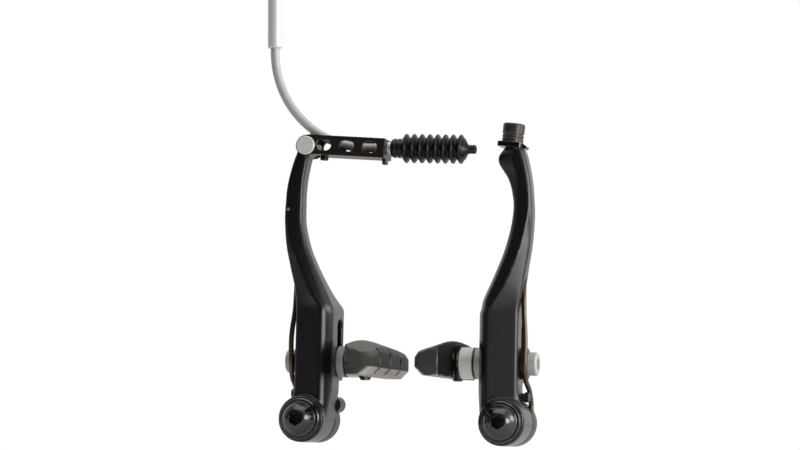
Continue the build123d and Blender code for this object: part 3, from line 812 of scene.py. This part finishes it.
def bootOutline(shape):
    start, neck, chamfer = shape["start"], shape["neckRadius"], shape["neckChamfer"]
    neckEnd = start + shape["neckLength"]
    outline = [(start, shape["mouth"]), (start, neck - chamfer), (start + chamfer, neck)]
    for share in shape["beadShares"]:
        middle = start + shape["neckLength"] * share
        for along in shape["beadSteps"]:
            rise = shape["beadHeight"] * sqrt(1 - along * along)
            outline.append((middle + along * shape["beadHalf"], neck + rise))
    outline.append((neckEnd - shape["neckEdge"], neck))
    depth = shape["ribRadius"] - shape["valleyRadius"]
    mirrored = [(-along, rise) for along, rise in reversed(shape["ribCurve"][:-1])]
    for rib in range(shape["ribCount"]):
        crest = neckEnd + (rib + 0.5) * shape["ribPitch"]
        for along, rise in (*shape["ribCurve"], *mirrored):
            radius = shape["valleyRadius"] + rise * depth
            outline.append((crest + along * shape["ribPitch"], radius))
    last = neckEnd + shape["ribCount"] * shape["ribPitch"]
    cone, nub = last + shape["coneLength"], shape["nubRadius"]
    nubEnd = cone + shape["nubLength"]
    flareLength, flareRise = shape["nubFlare"]
    outline += [
        (cone, nub + flareRise),
        (cone + flareLength, nub),
        (nubEnd - shape["nubRound"], nub),
        (nubEnd, nub - shape["nubRound"]),
        (nubEnd, shape["bore"]),
        (last, shape["bore"]),
        (last - shape["wall"], shape["chamber"]),
        (neckEnd + shape["wall"], shape["chamber"]),
        (neckEnd, shape["mouth"]),
        (start, shape["mouth"]),
    ]
    return outline


def extrudeRings(outline, sides, fill="NOTHING"):
    deselect()
    along, radius = outline[0]
    bpy.ops.mesh.primitive_circle_add(
        vertices=sides, radius=radius * mm, fill_type=fill, location=(0, 0, along * mm)
    )
    bpy.ops.object.transform_apply(location=True, rotation=True, scale=True)
    piece = bpy.context.object
    editAll()
    for nextAlong, nextRadius in outline[1:]:
        step = (0, 0, (nextAlong - along) * mm)
        bpy.ops.mesh.extrude_region_move(TRANSFORM_OT_translate={"value": step})
        grow = nextRadius / radius
        bpy.ops.transform.resize(value=(grow, grow, 1), center_override=(0, 0, nextAlong * mm))
        along, radius = nextAlong, nextRadius
    return piece


def addBoot(shape):
    piece = extrudeRings(bootOutline(shape), shape["sides"])
    closeMesh(shape["gap"])
    piece.rotation_mode = "QUATERNION"
    piece.rotation_quaternion = pipeAxis.to_track_quat("Z", "Y")
    piece.location = swivelPoint
    bpy.ops.object.transform_apply(location=True, rotation=True, scale=True)
    bpy.ops.object.shade_smooth_by_angle(angle=radians(shape["smoothAngle"]))
    finishPiece(piece, "rubber_boot", "boot", "guide_pipe")


addBoot(bootShape)
print("rubber boot modelled")

# Guide pipe: a ring drawn along the straight, spun round the bend and drawn up into the ferrule
pipeShape = {
    "radius": 1.75,
    "wall": 0.55,
    "end": 1.0,
    "straight": 9.6,
    "bendRadius": 40.0,
    "turn": 87.2,
    "lead": 13.7,
    "sides": 32,
    "steps": 48,
    "smoothAngle": 40,
}


def addPipe(shape):
    deselect()
    end = swivelPoint + pipeAxis * shape["end"] * mm
    turn = pipeAxis.to_track_quat("Z", "Y").to_euler()
    bpy.ops.mesh.primitive_circle_add(
        vertices=shape["sides"], radius=shape["radius"] * mm, location=end, rotation=turn
    )
    bpy.ops.object.transform_apply(location=True, rotation=True, scale=True)
    piece = bpy.context.object
    editAll()
    straight = -pipeAxis * shape["straight"] * mm
    bpy.ops.mesh.extrude_region_move(TRANSFORM_OT_translate={"value": straight})
    up = Vector((0, 1, 0)).cross(pipeAxis) * -1
    centre = end + straight + up * shape["bendRadius"] * mm
    bend = radians(shape["turn"])
    bpy.ops.mesh.spin(steps=shape["steps"], angle=-bend, center=centre, axis=(0, 1, 0))
    heading = -pipeAxis * cos(bend) + up * sin(bend)
    lead = heading * shape["lead"] * mm
    bpy.ops.mesh.extrude_region_move(TRANSFORM_OT_translate={"value": lead})
    closeMesh()
    applyModifier(piece, "SOLIDIFY", thickness=shape["wall"] * mm, offset=-1)
    bpy.ops.object.shade_smooth_by_angle(angle=radians(shape["smoothAngle"]))
    finishPiece(piece, "bent_guide_pipe", "guide_pipe", "guide_pipe")


addPipe(pipeShape)
print("guide pipe modelled")

# Return springs: welded copies of the wires, with a slight bow pressed in near the foot
springShape = {
    "gap": 0.00001,
    "bendLow": 0.005,
    "bendHigh": 0.016,
    "bowMiddle": (-0.0128, 0.01575),
    "bowReach": 0.0015,
    "bowSpread": 0.006,
    "bow": (0, -0.00026, -0.00037),
}


def addSpring(side, shape):
    node = side + "_return_spring"
    piece = copyNode(node, side + "_spring_wire", shape["gap"])
    middle = Vector(shape["bowMiddle"])
    selectVerts(piece, lambda co: (Vector((co.y, co.z)) - middle).length < shape["bowReach"])
    bpy.ops.transform.translate(
        value=shape["bow"],
        use_proportional_edit=True,
        proportional_edit_falloff="SMOOTH",
        proportional_size=shape["bowSpread"],
    )
    bpy.ops.object.mode_set(mode="OBJECT")
    bpy.ops.object.shade_smooth()
    finishPiece(piece, side + "_spring_wire", node)
    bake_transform(piece)


for side in ("left", "right"):
    addSpring(side, springShape)
print("return springs welded")

# Brake pads: a block cut to its section, divided along its length, arched, grooved and rounded
padShape = {
    "post": (-9.0, 23.0),
    "pivot": 40.0,
    "back": 21.7,
    "reach": 31.4,
    "length": 65.0,
    "top": 8.5,
    "bottom": 5.8,
    "archNear": 176.0,
    "archFar": 280.0,
    "faceTop": 3.6,
    "faceBottom": 2.6,
    "shoulderIn": 1.5,
    "shoulder": 5.8,
    "bottomIn": 3.1,
    "stations": 26,
    "endRound": 3.5,
    "endShares": (0.08, 0.3, 0.62),
    "stationGap": 0.00001,
    "grooves": 3,
    "grooveWidth": 2.0,
    "grooveDepth": 2.2,
    "bossRadius": 7.2,
    "bossHeight": 1.9,
    "bossSunk": 1.0,
    "postRadius": 3.02,
    "postSunk": 3.0,
    "postOver": 3.0,
    "sides": 64,
    "edgeRound": 0.45,
    "edgeSteps": 3,
    "edgeAngle": 28,
    "smoothAngle": 35,
}


def padBlock(shape):
    deselect()
    back, reach = -shape["back"] * mm, -shape["reach"] * mm
    low, high = -shape["bottom"] * mm, shape["top"] * mm
    half = shape["length"] * mm / 2
    bpy.ops.mesh.primitive_cube_add(size=1, location=((back + reach) / 2, 0, (low + high) / 2))
    piece = bpy.context.object
    piece.scale = (back - reach, 2 * half, high - low)
    bpy.ops.object.transform_apply(location=True, rotation=True, scale=True)
    editAll()
    shoulder = Vector((reach + shape["shoulderIn"] * mm, 0, shape["shoulder"] * mm))
    slope = Vector((back, 0, high)) - shoulder
    cutAway(shoulder, (-slope.z, 0, slope.x))
    lip = shoulder - Vector((reach, 0, shape["faceTop"] * mm))
    cutAway(shoulder, (-lip.z, 0, lip.x))
    faceEnd = Vector((reach, 0, -shape["faceBottom"] * mm))
    under = Vector((reach + shape["bottomIn"] * mm, 0, low)) - faceEnd
    cutAway(faceEnd, (under.z, 0, -under.x))
    places = [half * (2 * i / shape["stations"] - 1) for i in range(1, shape["stations"])]
    rounding = shape["endRound"] * mm
    for end in (-1, 1):
        places += [end * (half - rounding * share) for share in shape["endShares"]]
    for place in places:
        bpy.ops.mesh.select_all(action="SELECT")
        bpy.ops.mesh.bisect(plane_co=(0, place, 0), plane_no=(0, 1, 0), threshold=weld)
    middle = (back + reach) / 2
    for place in sorted(places + [-half, half]):
        arch = shape["archNear"] if place < 0 else shape["archFar"]
        sag = place**2 / (2 * arch * mm)
        near = lambda co: abs(co.y - place) < shape["stationGap"]
        selectVerts(piece, lambda co: near(co) and co.z > 0)
        bpy.ops.transform.translate(value=(0, 0, -sag))
        past = abs(place) - (half - rounding)
        if past > 0:
            inset = rounding - sqrt(max(rounding**2 - past**2, 0))
            selectVerts(piece, lambda co: near(co) and co.x < middle)
            bpy.ops.transform.translate(value=(inset, 0, 0))
    closeMesh()
    return piece


def addPad(side, shape):
    piece = padBlock(shape)
    reach = -shape["reach"] * mm
    pitch = shape["length"] * mm / (shape["grooves"] + 1)
    bladeSize = (2 * shape["grooveDepth"] * mm, shape["grooveWidth"] * mm, 4 * shape["top"] * mm)
    for i in range(shape["grooves"]):
        place = (i + 1) * pitch - shape["length"] * mm / 2
        deselect()
        bpy.ops.mesh.primitive_cube_add(size=1, location=(reach, place, 0))
        blade = bpy.context.object
        blade.scale = bladeSize
        bpy.ops.object.transform_apply(location=True, rotation=True, scale=True)
        joinTool(piece, blade, "DIFFERENCE")
    height = shape["bossHeight"]
    for radius, sunk, over, operation in (
        (shape["bossRadius"], shape["bossSunk"], height, "UNION"),
        (shape["postRadius"], shape["postSunk"], height + shape["postOver"], "DIFFERENCE"),
    ):
        deselect()
        depth = (over + sunk) * mm
        middle = -shape["back"] * mm - sunk * mm + depth / 2
        bpy.ops.mesh.primitive_cylinder_add(
            vertices=shape["sides"],
            radius=radius * mm,
            depth=depth,
            location=(middle, 0, 0),
            rotation=(0, pi / 2, 0),
        )
        bpy.ops.object.transform_apply(location=True, rotation=True, scale=True)
        joinTool(piece, bpy.context.object, operation)
    applyModifier(
        piece,
        "BEVEL",
        width=shape["edgeRound"] * mm,
        segments=shape["edgeSteps"],
        limit_method="ANGLE",
        angle_limit=radians(shape["edgeAngle"]),
        harden_normals=False,
    )
    deselect()
    piece.select_set(True)
    bpy.context.view_layer.objects.active = piece
    out = 1 if side == "right" else -1
    piece.location = (out * shape["pivot"] * mm, shape["post"][0] * mm, shape["post"][1] * mm)
    piece.scale = (out, 1, 1)
    bpy.ops.object.transform_apply(location=True, rotation=True, scale=True)
    editAll()
    closeMesh()
    bpy.ops.object.shade_smooth_by_angle(angle=radians(shape["smoothAngle"]))
    finishPiece(piece, side + "_rubber_pad", side + "_brake_pad", side + "_pad")


for side in ("left", "right"):
    addPad(side, padShape)
print("brake pads modelled")

# Pivot bolts: a disc drawn up the shank, out over the flange and in over the dome, then socketed
boltShape = {
    "pivot": 40.0,
    "seat": -28.2,
    "shank": 16.0,
    "shankRadius": 3.0,
    "shankChamfer": 0.4,
    "flange": 1.3,
    "flangeRadius": 7.0,
    "flangeRound": 0.65,
    "domeRadius": 6.3,
    "mouthRadius": 3.1,
    "head": 4.8,
    "socket": 5.0,
    "socketDepth": 3.2,
    "steps": 10,
    "sides": 72,
    "smoothAngle": 35,
}


def boltOutline(shape):
    tip, core = -shape["shank"], shape["shankRadius"]
    outline = [(tip, core - shape["shankChamfer"]), (tip + shape["shankChamfer"], core), (0, core)]
    outline.append((0, shape["flangeRadius"]))
    soft = shape["flangeRound"]
    shares = [i / shape["steps"] for i in range(shape["steps"] + 1)]
    for share in shares:
        lift, lean = sin(pi / 2 * share) - 1, cos(pi / 2 * share) - 1
        outline.append((shape["flange"] + soft * lift, shape["flangeRadius"] + soft * lean))
    wide, mouth, rise = shape["domeRadius"], shape["mouthRadius"], shape["head"] - shape["flange"]
    below = (wide**2 - mouth**2 - rise**2) / (2 * rise)
    ball = sqrt(wide**2 + below**2)
    first, last = asin(wide / ball), asin(mouth / ball)
    for share in shares:
        turn = first + (last - first) * share
        outline.append((shape["flange"] - below + ball * cos(turn), ball * sin(turn)))
    return outline


def cutSocket(piece, top, shape):
    deselect()
    bpy.ops.mesh.primitive_cylinder_add(
        vertices=6,
        radius=shape["socket"] / sqrt(3) * mm,
        depth=2 * shape["socketDepth"] * mm,
        location=(0, 0, top * mm),
    )
    joinTool(piece, bpy.context.object, "DIFFERENCE")


def placeTurned(piece, turn, place, smoothAngle):
    deselect()
    piece.select_set(True)
    bpy.context.view_layer.objects.active = piece
    piece.rotation_mode = "QUATERNION"
    piece.rotation_quaternion = turn
    piece.location = place
    bpy.ops.object.transform_apply(location=True, rotation=True, scale=True)
    editAll()
    closeMesh()
    bpy.ops.object.shade_smooth_by_angle(angle=radians(smoothAngle))


def addPivotBolt(side, shape):
    piece = extrudeRings(boltOutline(shape), shape["sides"], "NGON")
    closeMesh()
    cutSocket(piece, shape["head"], shape)
    out = 1 if side == "right" else -1
    place = Vector((out * shape["pivot"], shape["seat"], 0)) * mm
    forward = Vector((0, -1, 0)).to_track_quat("Z", "Y")
    placeTurned(piece, forward, place, shape["smoothAngle"])
    finishPiece(piece, side + "_domed_bolt", side + "_pivot_bolt", "pivot_posts")


for side in ("left", "right"):
    addPivotBolt(side, boltShape)
print("pivot bolts modelled")

# Clamp bolt: turned in one with its rings, on a slim end that fits the narrow bore
clampShape = {
    "tip": (-7.8, 1.3),
    "end": (-7.5, 1.6),
    "foot": 0.05,
    "shankRadius": 2.5,
    "plate": 1.92,
    "bands": ((1.92, 3.6, 4.2), (3.95, 5.05, 4.2), (5.45, 9.4, 4.3)),
    "grooveRadius": 3.8,
    "lip": 0.1,
    "chamfer": 0.4,
    "socket": 5.0,
    "socketDepth": 3.0,
    "sides": 64,
    "smoothAngle": 35,
}


def clampOutline(shape):
    outline = [shape["tip"], shape["end"], (shape["foot"], shape["end"][1])]
    outline += [(shape["foot"], shape["shankRadius"]), (shape["plate"], shape["shankRadius"])]
    lip, chamfer, groove = shape["lip"], shape["chamfer"], shape["grooveRadius"]
    *rings, head = shape["bands"]
    for (low, high, radius), nextBand in zip(rings, shape["bands"][1:]):
        outline += [(low, radius - lip), (low + lip, radius)]
        outline += [(high - lip, radius), (high, radius - lip)]
        outline += [(high, groove), (nextBand[0], groove)]
    low, high, radius = head
    outline += [(low, radius - lip), (low + lip, radius)]
    outline += [(high - chamfer, radius), (high, radius - chamfer)]
    return outline


def addClampBolt(shape):
    piece = extrudeRings(clampOutline(shape), shape["sides"], "NGON")
    closeMesh()
    cutSocket(piece, shape["bands"][-1][1], shape)
    placeTurned(piece, clampTurn, clampSeat, shape["smoothAngle"])
    finishPiece(piece, "turned_clamp_bolt", "clamp_bolt", "right_arm")


addClampBolt(clampShape)
print("clamp bolt modelled")
